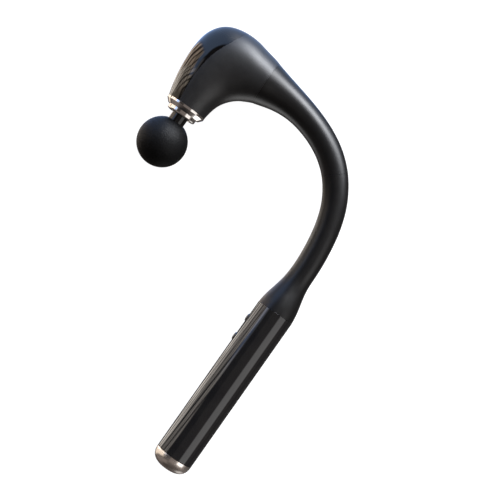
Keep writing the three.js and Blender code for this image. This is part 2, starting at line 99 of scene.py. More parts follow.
# Centre line and radius of the arm: x, y, radius.
ARM_STATIONS = [
    (0, 184.5, 19.4),
    (0, 190.5, 18.9),
    (0, 198.5, 17.3),
    (0, 206, 15.4),
    (0, 214, 13.6),
    (0, 222, 12.6),
    (0, 238, 12.4),
    (-2.2, 261, 12.4),
    (-6.5, 283, 12.5),
    (-14.5, 304.5, 12.6),
    (-29, 325.8, 12.9),
    (-46, 340.2, 13.2),
    (-66, 350.4, 13.5),
    (-88, 357, 14.3),
    (-104, 359.5, 15.9),
    (-119.5, 360.4, 18.8),
    (-134.6, 360.3, 22.9),
]
ARM_JOIN = (-29, 325.8)

# Sections of the head: degrees turned from the arm's end, inner reach, outer reach, half width.
HEAD_STATIONS = [
    (0, 39.8, 85.8, 23),
    (10, 37.3, 90.6, 23.6),
    (20, 35.7, 98.2, 24.2),
    (30, 34.1, 104.5, 24.6),
    (37, 33.1, 106.7, 24.7),
    (45, 32.1, 104.2, 24.6),
    (55, 31, 95.3, 24.2),
    (65, 30, 85.8, 23.4),
    (75, 29.3, 78.4, 22.3),
    (83, 29.2, 74, 21.4),
    (90, 29.3, 70.9, 20.8),
]

# Side view of the front cover's edge, from below the nose to above the dome.
COVER_EDGE = [
    (-192.6, 285),
    (-193.2, 303),
    (-194.5, 318),
    (-193.6, 338),
    (-190.8, 353),
    (-183.9, 370),
    (-176.8, 388),
    (-171, 402),
]

# The end cap's dome: radius, height.
CAP_DOME = [(0, 0), (8, 0), (10.5, 0.6), (13.5, 1.8), (16, 3.6), (18, 6.2), (19.1, 9.2)]
CAP_DOME += [(19.5, 12), (19.5, 14)]

# A button's dome: radius, distance across the grip.
BUTTON_DOME = [(0, -20.9), (1.2, -20.86), (2.3, -20.72), (3.3, -20.42), (4.0, -19.95)]
BUTTON_DOME += [(4.25, -19.4)]

# ------------------------------------------------------------------ curves


def dense(stations, step):
    """The stations joined by a centripetal Catmull-Rom curve, sampled every step millimetres."""
    p = np.array(stations, float)
    p = np.vstack([2 * p[0] - p[1], p, 2 * p[-1] - p[-2]])
    out = []
    for i in range(1, len(p) - 2):
        a, b, c, d = p[i - 1 : i + 3]
        t = [0.0]
        for u, v in ((a, b), (b, c), (c, d)):
            t.append(t[-1] + math.sqrt(np.linalg.norm(v - u)))
        count = max(2, int(np.linalg.norm(c - b) / step))
        for s in np.linspace(t[1], t[2], count, endpoint=False):
            a1 = ((t[1] - s) * a + (s - t[0]) * b) / (t[1] - t[0])
            a2 = ((t[2] - s) * b + (s - t[1]) * c) / (t[2] - t[1])
            a3 = ((t[3] - s) * c + (s - t[2]) * d) / (t[3] - t[2])
            b1 = ((t[2] - s) * a1 + (s - t[0]) * a2) / (t[2] - t[0])
            b2 = ((t[3] - s) * a2 + (s - t[1]) * a3) / (t[3] - t[1])
            out.append(((t[2] - s) * b1 + (s - t[1]) * b2) / (t[2] - t[1]))
    out.append(p[-2])
    return np.array(out)


def faired(curve, width):
    """The curve smoothed by a Gaussian of width samples, with both ends kept where they are."""
    reach = int(3 * width)
    head = 2 * curve[0] - curve[reach:0:-1]
    tail = 2 * curve[-1] - curve[-2 : -reach - 2 : -1]
    padded = np.vstack([head, curve, tail])
    kernel = np.exp(-0.5 * (np.arange(-reach, reach + 1) / width) ** 2)
    kernel /= kernel.sum()
    return np.stack(
        [np.convolve(padded[:, i], kernel, "valid") for i in range(curve.shape[1])], axis=1
    )


def rounded(profile, steps=5):
    """A closed outline of (x, y) or (x, y, fillet radius) points with its corners rounded."""
    out = []
    count = len(profile)
    for i, corner in enumerate(profile):
        here = Vector(corner[:2])
        radius = corner[2] if len(corner) > 2 else 0
        if not radius:
            out.append((here.x, here.y))
            continue
        back = Vector(profile[i - 1][:2]) - here
        ahead = Vector(profile[(i + 1) % count][:2]) - here
        half = back.angle(ahead) / 2
        trim = min(radius / math.tan(half), back.length * 0.48, ahead.length * 0.48)
        radius = trim * math.tan(half)
        start, end = here + back.normalized() * trim, here + ahead.normalized() * trim
        centre = here + (back.normalized() + ahead.normalized()).normalized() * (
            radius / math.sin(half)
        )
        a, b = start - centre, end - centre
        sweep = math.atan2(a.x * b.y - a.y * b.x, a.dot(b))
        for j in range(steps + 1):
            turn = Matrix.Rotation(sweep * j / steps, 2)
            spot = centre + turn @ a
            out.append((spot.x, spot.y))
    return out


# ------------------------------------------------------------------ mesh helpers

SHARP = math.radians(38)
SUPPORT = 0.4


def make(name, vertices, faces):
    """A mesh object from vertices in the frame; doubles are merged and the faces point out."""
    mesh = bpy.data.meshes.new(name)
    mesh.from_pydata([tuple(v) for v in vertices], [], faces)
    bm = bmesh.new()
    bm.from_mesh(mesh)
    bmesh.ops.remove_doubles(bm, verts=bm.verts, dist=2e-6)
    bmesh.ops.dissolve_degenerate(bm, edges=bm.edges, dist=1e-7)
    bmesh.ops.recalc_face_normals(bm, faces=bm.faces)
    bm.to_mesh(mesh)
    bm.free()
    mesh.shade_smooth()
    mesh.set_sharp_from_angle(angle=SHARP)
    obj = bpy.data.objects.new(name, mesh)
    bpy.context.scene.collection.objects.link(obj)
    return obj


def grid_faces(rows, columns, wrap_rows, wrap_columns):
    faces = []
    for i in range(rows if wrap_rows else rows - 1):
        for j in range(columns if wrap_columns else columns - 1):
            k, m = (i + 1) % rows, (j + 1) % columns
            faces.append(
                (i * columns + j, i * columns + m, k * columns + m, k * columns + j)
            )
    return faces


def supported(outline, closed):
    """The outline with an extra point near both ends of its long straight stretches."""
    out = []
    for i, (r, h) in enumerate(outline):
        out.append((r, h))
        if i == len(outline) - 1 and not closed:
            break
        next_r, next_h = outline[(i + 1) % len(outline)]
        length = math.hypot(next_r - r, next_h - h)
        if length > 3 * SUPPORT:
            for share in (SUPPORT / length, 1 - SUPPORT / length):
                out.append((r + (next_r - r) * share, h + (next_h - h) * share))
    return out


def turned(name, profile, place, axis="y", segments=160, closed=True):
    """A turned piece. profile holds (radius, height[, fillet]) points; place maps to the frame.

    closed False means that the profile starts and ends on the axis.
    """
    outline = supported(rounded(profile), closed)
    turn = {
        "y": lambda r, h, c, s: (r * c, h, r * s),
        "x": lambda r, h, c, s: (h, r * c, r * s),
        "z": lambda r, h, c, s: (r * c, r * s, h),
    }[axis]
    vertices = []
    for i in range(segments):
        angle = 2 * math.pi * i / segments
        for r, h in outline:
            x, y, z = turn(r, h, math.cos(angle), math.sin(angle))
            vertices.append(point(place[0] + x, place[1] + y, place[2] + z))
    return make(name, vertices, grid_faces(segments, len(outline), True, closed))


def tube_skin(name, rings):
    """A closed skin through rings of points that returns to its first ring."""
    count = len(rings[0])
    vertices = [point(*p) for ring in rings for p in ring]
    return make(name, vertices, grid_faces(len(rings), count, True, True))


def shell(name, outer, inner):
    """A closed wall between two equal grids of points."""
    rows, columns = outer.shape[:2]
    vertices = [point(*p) for p in outer.reshape(-1, 3)]
    vertices += [point(*p) for p in inner.reshape(-1, 3)]
    skin = grid_faces(rows, columns, False, False)
    shift = rows * columns
    faces = skin + [tuple(shift + v for v in reversed(face)) for face in skin]
    rim = list(range(columns))
    rim += [i * columns + columns - 1 for i in range(1, rows)]
    rim += [(rows - 1) * columns + j for j in range(columns - 2, -1, -1)]
    rim += [i * columns for i in range(rows - 2, 0, -1)]
    for a, b in zip(rim, rim[1:] + rim[:1]):
        faces.append((a, b, b + shift, a + shift))
    return make(name, vertices, faces)


def apply_boolean(obj, cutter, operation="DIFFERENCE"):
    """Cuts obj with cutter, which is then removed."""
    modifier = obj.modifiers.new("cut", "BOOLEAN")
    modifier.operation = operation
    modifier.object = cutter
    modifier.solver = "EXACT"
    depsgraph = bpy.context.evaluated_depsgraph_get()
    result = bpy.data.meshes.new_from_object(obj.evaluated_get(depsgraph))
    obj.modifiers.clear()
    obj.data = result
    result.shade_smooth()
    result.set_sharp_from_angle(angle=SHARP)
    bpy.data.objects.remove(cutter)


def finish_piece(obj, body, slot, material, *nodes):
    """Material, body and the CAD nodes that this piece stands for; the slot argument is not used."""
    obj.data.materials.clear()
    obj.data.materials.append(material)
    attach(obj, body)
    if nodes:
        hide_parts(*nodes)
    return obj


# ------------------------------------------------------------------ materials


class Shader:
    """A Principled material, with helpers for noise that is measured in millimetres."""

    def __init__(self, name, colour, roughness, metallic=0.0, **extra):
        self.material = bpy.data.materials.new(name)
        self.material.use_nodes = True
        self.tree = self.material.node_tree
        self.main = self.tree.nodes["Principled BSDF"]
        self.set("Base Color", (*colour, 1))
        self.set("Roughness", roughness)
        self.set("Metallic", metallic)
        for key, value in extra.items():
            self.set(key.replace("_", " ").title().replace("Ior", "IOR"), value)
        self.colour = colour
        self.space = self.node("ShaderNodeTexCoord").outputs["Object"]
        self.normal = None

    def set(self, key, value):
        self.main.inputs[key].default_value = value

    def node(self, kind, **settings):
        made = self.tree.nodes.new(kind)
        for key, value in settings.items():
            setattr(made, key, value)
        return made

    def link(self, output, target):
        self.tree.links.new(output, target)

    def stretched(self, scale):
        mapping = self.node("ShaderNodeMapping")
        mapping.inputs["Scale"].default_value = scale
        self.link(self.space, mapping.inputs["Vector"])
        return mapping.outputs["Vector"]

    def noise(self, size, detail=3.0, stretch=None, kind="noise"):
        """Noise whose features are about size millimetres across."""
        if kind == "cells":
            made = self.node("ShaderNodeTexVoronoi", feature="SMOOTH_F1")
            made.inputs["Smoothness"].default_value = 0.6
            output = made.outputs["Distance"]
        else:
            made = self.node("ShaderNodeTexNoise")
            made.inputs["Detail"].default_value = detail
            output = made.outputs["Fac"]
        made.inputs["Scale"].default_value = 1 / (size * MM)
        self.link(self.stretched(stretch) if stretch else self.space, made.inputs["Vector"])
        return output

    def ranged(self, value, low, high, start=0.3, end=0.7):
        """value from start..end mapped onto low..high."""
        made = self.node("ShaderNodeMapRange")
        for key, number in zip(
            ("From Min", "From Max", "To Min", "To Max"), (start, end, low, high)
        ):
            made.inputs[key].default_value = number
        self.link(value, made.inputs["Value"])
        return made.outputs["Result"]

    def mottle(self, value, other, low=0.0, high=1.0):
        """The base colour moves towards other where value is high."""
        ramp = self.node("ShaderNodeValToRGB")
        ramp.color_ramp.elements[0].color = (*self.colour, 1)
        ramp.color_ramp.elements[1].color = (*other, 1)
        self.link(self.ranged(value, low, high), ramp.inputs["Fac"])
        self.link(ramp.outputs["Color"], self.main.inputs["Base Color"])

    def rough(self, value, low, high):
        self.link(self.ranged(value, low, high), self.main.inputs["Roughness"])

    def bump(self, value, height):
        """Height in millimetres; several bumps add up."""
        made = self.node("ShaderNodeBump")
        made.inputs["Distance"].default_value = height * MM
        self.link(value, made.inputs["Height"])
        if self.normal:
            self.link(self.normal, made.inputs["Normal"])
        self.normal = made.outputs["Normal"]
        self.link(self.normal, self.main.inputs["Normal"])


def grip_material():
    s = Shader("grip gloss black", (0.0045, 0.0045, 0.005), 0.04, ior=1.5)
    s.mottle(s.noise(14), (0.007, 0.0068, 0.0066))
    s.rough(s.noise(5, 4), 0.03, 0.05)
    s.bump(s.noise(2.2, 1), 0.0005)
    return s.material


def cover_material():
    """Piano black that turns satin over the top of the dome, between two heights."""
    s = Shader("cover piano black", (0.0012, 0.0012, 0.0014), 0.03, ior=1.5)
    s.mottle(s.noise(12), (0.0022, 0.0022, 0.0022))
    axes = s.node("ShaderNodeSeparateXYZ")
    s.link(s.space, axes.inputs[0])
    low, high = (ORIGIN.y + height * MM for height in SATIN_FADE)
    fade = s.ranged(axes.outputs["Y"], 0, 1, low, high)
    gloss = s.ranged(s.noise(4, 4), 0.02, 0.06)
    satin = s.ranged(s.noise(6, 5), 0.34, 0.38)
    blend = s.node("ShaderNodeMix")
    for value, target in ((fade, "Factor"), (gloss, "A"), (satin, "B")):
        s.link(value, blend.inputs[target])
    s.link(blend.outputs["Result"], s.main.inputs["Roughness"])
    s.set("Specular Tint", (1, 0.92, 0.8, 1))
    s.bump(s.noise(3, 1), 0.001)
    return s.material


def arm_material():
    s = Shader("arm soft touch", (0.002, 0.002, 0.0021), 0.35, ior=1.41)
    s.mottle(s.noise(9, 5), (0.003, 0.0029, 0.0028))
    s.rough(s.noise(6, 5), 0.33, 0.37)
    s.bump(s.noise(0.35, 2), 0.0018)
    s.bump(s.noise(0.12, 1), 0.0006)
    return s.material


def shell_material():
    s = Shader("head satin shell", (0.0078, 0.0078, 0.008), 0.38, ior=1.43)
    s.mottle(s.noise(9, 5), (0.0112, 0.011, 0.0109))
    s.rough(s.noise(6, 5), 0.38, 0.42)
    s.bump(s.noise(0.3, 2), 0.0015)
    return s.material


def foam_material():
    s = Shader("ball pebbled foam", (0.001, 0.001, 0.0011), 0.54, ior=1.23)
    s.mottle(s.noise(1.1, 4), (0.0026, 0.0026, 0.0027))
    s.rough(s.noise(1.6, 3), 0.46, 0.6)
    s.bump(s.noise(1.1, 3, kind="cells"), 0.24)
    s.bump(s.noise(0.45, 3), 0.04)
    return s.material


def metal_material(name, colour, low, high, lay):
    """Polished metal with the faint rings of turning, drawn out along the lay."""
    s = Shader(name, colour, low, metallic=1.0)
    s.mottle(s.noise(6, 3), tuple(0.93 * c for c in colour))
    s.rough(s.noise(2.5, 4), low, high)
    s.bump(s.noise(0.25, 2, stretch=lay), 0.00004)
    s.bump(s.noise(4, 1), 0.0005)
    return s.material


def rubber_material(name, colour):
    s = Shader(name, colour, 0.6)
    s.mottle(s.noise(3, 4), tuple(1.5 * c for c in colour))
    s.rough(s.noise(2, 4), 0.5, 0.72)
    s.bump(s.noise(0.3, 3), 0.012)
    return s.material


def plain_part_material(name, colour, other, roughness, metallic, grain, height):
    """Moulded, plated or wound inner parts: mottled colour, broken gloss and a fine grain."""
    s = Shader(name, colour, roughness, metallic=metallic)
    s.mottle(s.noise(4, 4), other)
    s.rough(s.noise(2.4, 4), roughness * 0.8, min(1, roughness * 1.25))
    s.bump(s.noise(grain, 2), height)
    return s.material


def circuit_material():
    """Green solder mask over copper tracks."""
    s = Shader("circuit board", (0.008, 0.07, 0.03), 0.35)
    tracks = s.node("ShaderNodeTexBrick")
    tracks.inputs["Scale"].default_value = 1 / (9 * MM)
    tracks.inputs["Color1"].default_value = (0.01, 0.09, 0.04, 1)
    tracks.inputs["Color2"].default_value = (0.006, 0.06, 0.026, 1)
    tracks.inputs["Mortar"].default_value = (0.03, 0.16, 0.07, 1)
    tracks.inputs["Mortar Size"].default_value = 0.03
    s.link(s.space, tracks.inputs["Vector"])
    s.link(tracks.outputs["Color"], s.main.inputs["Base Color"])
    s.rough(s.noise(1.5, 3), 0.28, 0.45)
    s.bump(tracks.outputs["Fac"], 0.02)
    return s.material


GRIP_GLOSS = grip_material()
COVER_GLOSS = cover_material()
SOFT_TOUCH = arm_material()
SATIN_SHELL = shell_material()
FOAM = foam_material()
CHROME = metal_material("trim chrome", (0.8, 0.77, 0.74), 0.09, 0.15, (1, 12, 1))
NICKEL = metal_material("cap nickel", (0.83, 0.78, 0.73), 0.2, 0.26, (1, 12, 1))
BUTTON_GLOSS = plain_part_material(
    "button gloss", (0.006, 0.006, 0.0065), (0.009, 0.009, 0.009), 0.08, 0, 1.5, 0.001
)
NECK_GLOSS = plain_part_material(
    "neck gloss", (0.005, 0.005, 0.0055), (0.008, 0.008, 0.008), 0.05, 0, 2.0, 0.0008
)
RUBBER = rubber_material("seal rubber", (0.012, 0.012, 0.0125))
WIRE = rubber_material("wire sleeve", (0.01, 0.01, 0.011))
STEEL = plain_part_material(
    "machined steel", (0.42, 0.43, 0.45), (0.36, 0.37, 0.39), 0.28, 1, 0.4, 0.004
)
ALUMINIUM = plain_part_material(
    "cast aluminium", (0.56, 0.57, 0.58), (0.48, 0.49, 0.5), 0.4, 1, 0.8, 0.02
)
POLYMER = plain_part_material(
    "bearing polymer", (0.66, 0.64, 0.58), (0.6, 0.58, 0.52), 0.45, 0, 0.6, 0.008
)
COPPER = plain_part_material(
    "enamelled copper", (0.5, 0.17, 0.06), (0.38, 0.11, 0.035), 0.3, 1, 0.35, 0.05
)
LAMINATIONS = plain_part_material(
    "coated iron", (0.06, 0.06, 0.066), (0.09, 0.09, 0.095), 0.45, 1, 0.3, 0.02
)
BLACK_PLASTIC = plain_part_material(
    "moulded black", (0.014, 0.014, 0.015), (0.022, 0.022, 0.022), 0.5, 0, 0.5, 0.01
)
CELL_WRAP = plain_part_material(
    "cell wrap", (0.01, 0.12, 0.2), (0.014, 0.15, 0.24), 0.3, 0, 1.2, 0.01
)
CIRCUIT = circuit_material()

# ------------------------------------------------------------------ grip and end cap

bore = GRIP_RADIUS - GRIP_WALL
grip = turned(
    "grip_tube_body",
    [
        (bore, GRIP_BOTTOM, 0.15),
        (GRIP_RADIUS, GRIP_BOTTOM, 0.25),
        (GRIP_RADIUS, GRIP_TOP, 0.1),
        (bore, GRIP_TOP, 0.15),
    ],
    (0, 0, 0),
    segments=192,
)
for y in BUTTON_Y.values():
    hole = turned(
        "hole",
        [(0, -24), (BUTTON_RADIUS + SEAM, -24), (BUTTON_RADIUS + SEAM, -12), (0, -12)],
        (0, y, 0),
        axis="x",
        segments=64,
        closed=False,
    )
    apply_boolean(grip, hole)
finish_piece(grip, "housing", "grip_gloss", GRIP_GLOSS, "grip_tube")

cap = turned(
    "end_cap_body",
    [tuple(p) for p in faired(dense(CAP_DOME, 0.4), 3)]
    + [
        (17.4, 14),
        (17.4, 18, 0.1),
        (16.1, 18),
        (16.1, 20),
        (17.4, 20, 0.1),
        (17.4, 24, 0.4),
        (15, 24, 0.2),
        (15, 3.2, 0.5),
        (0, 3.2),
    ],
    (0, 0, 0),
    segments=192,
    closed=False,
)


def slot_solid(name, half_length, half_height, y0, y1):
    """A round-ended slot in the end cap, running along X."""
    corner = half_height * 0.98
    outline = rounded(
        [
            (-half_length, -half_height, corner),
            (half_length, -half_height, corner),
            (half_length, half_height, corner),
            (-half_length, half_height, corner),
        ],
        steps=8,
    )
    vertices = [point(x, y, z) for y in (y0, y1) for x, z in outline]
    count = len(outline)
    faces = [tuple(range(count)), tuple(reversed(range(count, 2 * count)))]
    faces += [(j, (j + 1) % count, count + (j + 1) % count, count + j) for j in range(count)]
    return make(name, vertices, faces)


apply_boolean(cap, slot_solid("slot", 4.9, 2, -1, 5))
finish_piece(cap, "housing", "cap_nickel", NICKEL, "end_cap")

socket_shell = slot_solid("usb_socket_body", 4.5, 1.6, 0.5, 8)
apply_boolean(socket_shell, slot_solid("hollow", 4.2, 1.3, -1, 7.4))
tongue = slot_solid("tongue", 3.4, 0.35, 1.2, 7.7)
apply_boolean(socket_shell, tongue, "UNION")
finish_piece(socket_shell, "housing", "steel", STEEL, "usb_socket")

# ------------------------------------------------------------------ buttons

for name, y in BUTTON_Y.items():
    button = turned(
        name + "_body",
        [tuple(p) for p in faired(dense(BUTTON_DOME, 0.1), 3)]
        + [
            (BUTTON_RADIUS, -16.4, 0.1),
            (5.4, -16.4, 0.1),
            (5.4, -15.5, 0.1),
            (1.6, -15.5, 0.3),
            (1.6, -12.8, 0.2),
            (0, -12.8),
        ],
        (0, y, 0),
        axis="x",
        segments=96,
        closed=False,
    )
    finish_piece(button, name, "grip_gloss", BUTTON_GLOSS, name)

# ------------------------------------------------------------------ arm

arm_line = faired(dense(ARM_STATIONS, 1.0), 5)
arm_slope = np.gradient(arm_line[:, :2], axis=0)
arm_slope /= np.linalg.norm(arm_slope, axis=1)[:, None]
arm_slope[0], arm_slope[-1] = (0, 1), (-1, 0)
join_index = int(np.argmin(np.linalg.norm(arm_line[:, :2] - np.array(ARM_JOIN), axis=1)))
ARM_SEGMENTS = 112
ring_angles = np.linspace(0, 2 * math.pi, ARM_SEGMENTS, endpoint=False)


def arm_ring(x, y, slope, radius, along=0.0):
    """A circle across the arm, moved along it by a few tenths of a millimetre."""
    side = np.array([-slope[1], slope[0]])
    centre = np.array([x, y]) + np.array(slope) * along
    flat = centre + np.outer(np.cos(ring_angles) * radius, side)
    return np.column_stack([flat, np.sin(ring_angles) * radius])


def arm_skin(first, last, start_trim, end_trim, inset):
    """Rings along a stretch of the arm, pulled in by inset, with both rims eased outside."""
    picks = list(range(first, last, 2)) + [last]
    rings = []
    for i in picks:
        x, y, radius = arm_line[i]
        radius -= inset
        if i not in (first, last):
            rings.append(arm_ring(x, y, arm_slope[i], radius))
            continue
        along, ease = (start_trim, RIM_EASE) if i == first else (-end_trim, -RIM_EASE)
        rim = [(radius - RIM_EASE, along), (radius, along + ease)]
        if inset:
            rim = [(radius, along)]
        for r, shift in rim if i == first else reversed(rim):
            rings.append(arm_ring(x, y, arm_slope[i], r, shift))
    return rings


bore_index = int(np.argmin(np.abs(arm_line[:join_index, 1] - ARM_BORE_START)))
spigot = [
    arm_ring(0, y, (0.0, 1.0), radius)
    for y, radius in (
        (SPIGOT_BOTTOM, SPIGOT_BORE),
        (SPIGOT_BOTTOM, SPIGOT_RADIUS - SPIGOT_CHAMFER),
        (SPIGOT_BOTTOM + SPIGOT_CHAMFER, SPIGOT_RADIUS),
        (GRIP_TOP + SEAM, SPIGOT_RADIUS),
    )
]
lower = tube_skin(
    "arm_lower_body",
    spigot
    + arm_skin(0, join_index, 0.0, JOIN_GAP / 2, 0.0)
    + arm_skin(bore_index, join_index, 0.0, JOIN_GAP / 2, ARM_WALL)[::-1],
)
finish_piece(lower, "housing", "soft_touch", SOFT_TOUCH, "arm_lower")

arm_end = len(arm_line) - 1
upper = tube_skin(
    "arm_upper_body",
    arm_skin(join_index, arm_end, JOIN_GAP / 2, -HEAD_LAP, 0.0)
    + arm_skin(join_index, arm_end, JOIN_GAP / 2, -HEAD_LAP, ARM_WALL)[::-1],
)
finish_piece(upper, "housing", "soft_touch", SOFT_TOUCH, "arm_upper")

# ------------------------------------------------------------------ head

head_line = faired(dense(HEAD_STATIONS, 0.5), 4)
turns, reach_in, reach_out, half_width = head_line.T


def head_point(turn, angle, inset):
    """A point of the head's skin: turn in degrees from the arm's end, angle round the section."""
    inner = np.interp(turn, turns, reach_in) + inset
    outer = np.interp(turn, turns, reach_out) - inset
    half = np.interp(turn, turns, half_width) - inset
    reach = (inner + outer) / 2 + (outer - inner) / 2 * np.cos(angle)
    heading = np.radians(90 + turn)
    return np.stack(
        [
            HEAD_PIVOT[0] + reach * np.cos(heading),
            HEAD_PIVOT[1] + reach * np.sin(heading),
            half * np.sin(angle) + 0 * reach,
        ],
        axis=-1,
    )


def cover_edge(shift, rows):
    """(turn, angle) along the cover's edge on the near side, from the nose to the dome's top."""
    x, y = faired(dense(COVER_EDGE, 0.8), 5).T
    dx, dy = x + shift - HEAD_PIVOT[0], y - HEAD_PIVOT[1]
    turn = np.degrees(np.arctan2(dy, dx)) % 360 - 90
    inner, outer = np.interp(turn, turns, reach_in), np.interp(turn, turns, reach_out)
    share = (np.hypot(dx, dy) - (inner + outer) / 2) / ((outer - inner) / 2)
    tip = np.argmax((share >= 1) & (turn < 60))
    part = (1 - share[tip - 1]) / (share[tip] - share[tip - 1])
    tip_turn = turn[tip - 1] + part * (turn[tip] - turn[tip - 1])
    steps = tip_turn + (90 - tip_turn) * np.linspace(1, 0, rows) ** 2
    shares = np.interp(steps, turn[::-1], share[::-1])
    shares[-1] = 1
    return list(zip(steps, np.arccos(np.minimum(shares, 1))))


def head_grid(rows, columns, inset):
    """A grid of the head's skin for rows of (turn, first angle, last angle)."""
    return np.array(
        [
            head_point(turn, np.linspace(first, last, columns), inset)
            for turn, first, last in rows
        ]
    )


# The head's grids: rows along the cover's edge, columns, degrees between the rows behind the edge,
# and the turn of the last of them, just short of the arm.
EDGE_ROWS = 120
COVER_COLUMNS = 81
SHELL_COLUMNS = 61
ROW_STEP = 0.9
LAST_TURN = 0.05
cover_rows = [(turn, -angle, angle) for turn, angle in cover_edge(-HALF_GAP, EDGE_ROWS)]
cover_rows[-1] = (cover_rows[-1][0], -COVER_TIP_ANGLE, COVER_TIP_ANGLE)
cover = shell(
    "front_cover_body",
    head_grid(cover_rows, COVER_COLUMNS, 0),
    head_grid(cover_rows, COVER_COLUMNS, HEAD_WALL),
)
finish_piece(cover, "housing", "cover_gloss", COVER_GLOSS, "front_cover")

edge_rows = cover_edge(HALF_GAP, EDGE_ROWS)
tip_turn = edge_rows[-1][0]
rows_behind = np.linspace(tip_turn, LAST_TURN, int(tip_turn / ROW_STEP))[1:]


def half_rows(split):
    """Rows of the near half shell, kept split radians from the plane of the hook."""
    rows = [(turn, max(angle, split), math.pi - split) for turn, angle in edge_rows]
    return rows + [(turn, split, math.pi - split) for turn in rows_behind]


def mirrored(rows):
    return [(turn, -first, -last) for turn, first, last in rows]


# The seam between the half shells is a groove that closes at the inside of the wall.
outer_rows = half_rows(HALF_GAP / HEAD_HALF_WIDTH)
inner_rows = half_rows(HALF_GAP_INSIDE / HEAD_HALF_WIDTH)
near = shell(
    "head_shell_near_body",
    head_grid(outer_rows, SHELL_COLUMNS, 0),
    head_grid(inner_rows, SHELL_COLUMNS, HEAD_WALL),
)
finish_piece(near, "housing", "satin_shell", SATIN_SHELL, "head_shell_near")
far = shell(
    "head_shell_far_body",
    head_grid(mirrored(outer_rows), SHELL_COLUMNS, 0),
    head_grid(mirrored(inner_rows), SHELL_COLUMNS, HEAD_WALL),
)
finish_piece(far, "housing", "satin_shell", SATIN_SHELL, "head_shell_far")

# ------------------------------------------------------------------ nose

AT_NOSE = (NOSE_X, 0, 0)
bezel = turned(
    "nose_bezel_body",
    [
        (16.1, 291.4, 0.5),
        (17.4, 291.4, 0.5),
        (20.9, 295.2, 0.5),
        (20.9, 297.35),
        (18.2, 297.35, 0.1),
        (18.2, 304, 0.2),
        (16.9, 304, 0.2),
        (16.9, 298),
        (16.1, 297.2),
    ],
    AT_NOSE,
)
finish_piece(bezel, "housing", "chrome_trim", CHROME, "nose_bezel")

collar = turned(
    "collar_ring_body",
    [
        (10.8, 286.9, 0.3),
        (13.9, 286.9, 0.6),
        (14.9, 287.3, 0.6),
        (15.4, 288.4, 0.8),
        (15.4, 300, 0.2),
        (13.9, 300, 0.2),
        (13.9, 289.2),
        (10.8, 289.2, 0.2),
    ],
    AT_NOSE,
)
finish_piece(collar, "housing", "chrome_trim", CHROME, "collar_ring")

wiper = turned(
    "wiper_seal_body",
    [
        (8.75, 287.5, 0.3),
        (10.5, 287.5, 0.3),
        (10.5, 289.5),
        (13.6, 289.5, 0.2),
        (13.6, 292.6, 0.2),
        (8.75, 292.6, 0.3),
    ],
    AT_NOSE,
    segments=96,
)
finish_piece(wiper, "housing", "seal_rubber", RUBBER, "wiper_seal")

# ------------------------------------------------------------------ ball attachment

neck = turned(
    "ball_neck_body",
    [
        (0, 243),
        (6, 243, 0.5),
        (6, 278),
        (NECK_RADIUS, 278),
        (NECK_RADIUS, 296, 0.2),
        (7.7, 296.7, 0.2),
        (5.2, 296.7, 0.3),
        (5.2, 301.3, 0.2),
        (3.7, 301.3, 0.2),
        (3.7, 303.3, 0.2),
        (5.2, 303.3, 0.2),
        (5.2, 312, 0.3),
        (4.2, 313, 0.3),
        (0, 313),
    ],
    AT_NOSE,
    segments=128,
    closed=False,
)
finish_piece(neck, "ball_attachment", "neck_gloss", NECK_GLOSS, "ball_neck")

MOUTH_RADIUS = NECK_RADIUS + SEAM
MOUTH_EASE = 0.9
mouth_angle = math.asin((MOUTH_RADIUS + MOUTH_EASE) / BALL_RADIUS)
ball_arc = [
    (BALL_RADIUS * math.sin(a), BALL_Y + BALL_RADIUS * math.cos(a))
    for a in np.linspace(math.pi, mouth_angle, 150)
]
mouth_y = ball_arc[-1][1]
mouth_lip = [
    (
        MOUTH_RADIUS + MOUTH_EASE * (1 - math.sin(a)),
        mouth_y - MOUTH_EASE * (1 - math.cos(a)) * 0.9 + 0.05,
    )
    for a in np.linspace(0.25, math.pi / 2, 7)
]
ball = turned(
    "massage_ball_body",
    [(0, ball_arc[0][1])]
    + ball_arc[1:]
    + mouth_lip
    + [(MOUTH_RADIUS, 277.7), (6.3, 277.7), (6.3, 242.7, 0.3), (0, 242.7)],
    AT_NOSE,
    segments=256,
    closed=False,
)
finish_piece(ball, "ball_attachment", "foam", FOAM, "massage_ball")

# ------------------------------------------------------------------ pieces that keep their CAD shape

KEPT = {
    RUBBER: ["cap_seal", "isolation_ring", "damper_pad", "neck_o_ring"],
    CIRCUIT: ["charge_board", "control_board"],
    BLACK_PLASTIC: ["controller_chip", "driver_chip", "board_connector", "battery_carrier"],
    CELL_WRAP: ["cell_1", "cell_2"],
    STEEL: [
        "contact_negative",
        "contact_link",
        "contact_positive",
        "switch_mode",
        "switch_power",
        "frame_screw_1",
        "frame_screw_2",
        "frame_screw_3",
        "bearing_front",
        "bearing_rear",
        "rotor_bell",
        "motor_shaft",
        "crank_disc",
        "crank_roller",
    ],
    ALUMINIUM: ["arm_coupler", "head_coupler", "motor_frame", "plunger"],
    WIRE: ["wiring_loom"],
    POLYMER: ["guide_bush"],
    LAMINATIONS: ["motor_stator", "magnet_ring"],
    COPPER: [f"coil_{i + 1}" for i in range(6)],
}
for material, names in KEPT.items():
    for name in names:
        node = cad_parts[name]
        node.data.materials.clear()
        node.data.materials.append(material)

# ------------------------------------------------------------------ floor, light and camera

CAMERA_TURN = math.radians(35.1)
RIGHT = Vector((math.cos(CAMERA_TURN), math.sin(CAMERA_TURN), 0))
UPWARD = Vector((-math.sin(CAMERA_TURN), math.cos(CAMERA_TURN), 0))


def studio_direction(bearing, tilt):
    """A direction tilted from straight up towards a bearing from the picture's right hand."""
    bearing, tilt = math.radians(bearing), math.radians(tilt)
    flat = RIGHT * math.cos(bearing) + UPWARD * math.sin(bearing)
    return flat * math.sin(tilt) + Vector((0, 0, math.cos(tilt)))


